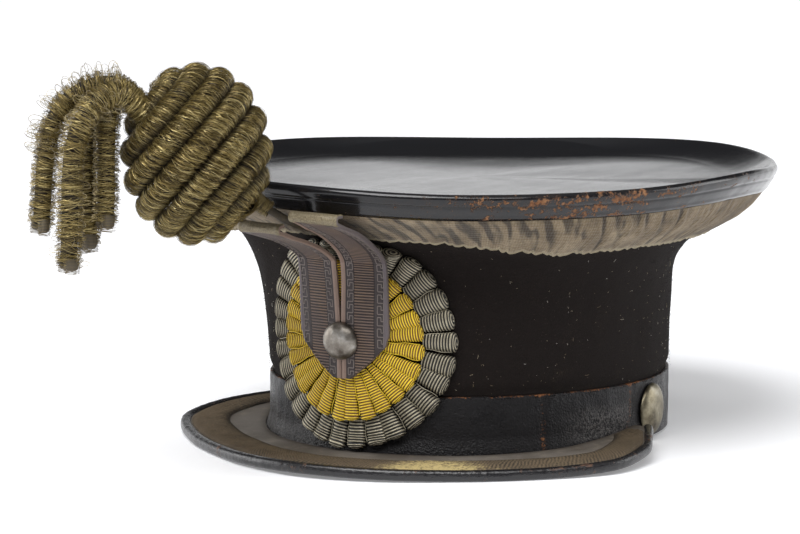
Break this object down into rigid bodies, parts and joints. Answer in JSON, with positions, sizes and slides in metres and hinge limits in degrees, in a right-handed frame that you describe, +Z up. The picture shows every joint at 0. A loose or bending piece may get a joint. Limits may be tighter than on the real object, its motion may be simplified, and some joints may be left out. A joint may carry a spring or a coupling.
{
  "type": "shako hat",
  "caption": "Bell-topped shako of dark felt with a dished leather top, base band and visor, braid under the rim, a pleated cockade with a braid loop and button, and a wound bullion pompom.",
  "frame": {"origin": "on the surface that the hat rests on, under the middle of the whole hat's box", "axes": "+Z up; the wearer faces -Y, so the visor and pompom are at -Y; +X to the wearer's left"},
  "size_m": [0.2666, 0.3856, 0.1779],
  "materials": {
    "lacquered_leather": "gloss, worn at the rim",
    "felt": "matt",
    "rim_braid": "matt, faded",
    "band_leather": "satin",
    "visor_leather": "satin, worn",
    "binding_leather": "gloss",
    "visor_braid": "matt, woven",
    "silver_cord": "tarnished metal thread",
    "yellow_cord": "satin thread",
    "loop_braid": "tarnished metal thread",
    "button_metal": "dull silver",
    "boss_metal": "tarnished",
    "bullion": "tarnished gold wire",
    "stem_wire": "dull wire"
  },
  "bodies": {
    "root": {"crown_top": "lacquered_leather", "felt_body": "felt", "rim_braid": "rim_braid", "base_band": "band_leather", "visor": "visor_leather", "visor_binding": "binding_leather", "visor_braid": "visor_braid", "cockade_outer": "silver_cord", "cockade_inner": "yellow_cord", "loop_left": "loop_braid", "loop_right": "loop_braid", "cockade_button": "button_metal", "boss_left": "boss_metal", "boss_right": "boss_metal", "pompom": "bullion", "pompom_fringe": "bullion", "pompom_stem": "stem_wire"}
  },
  "joints": []
}
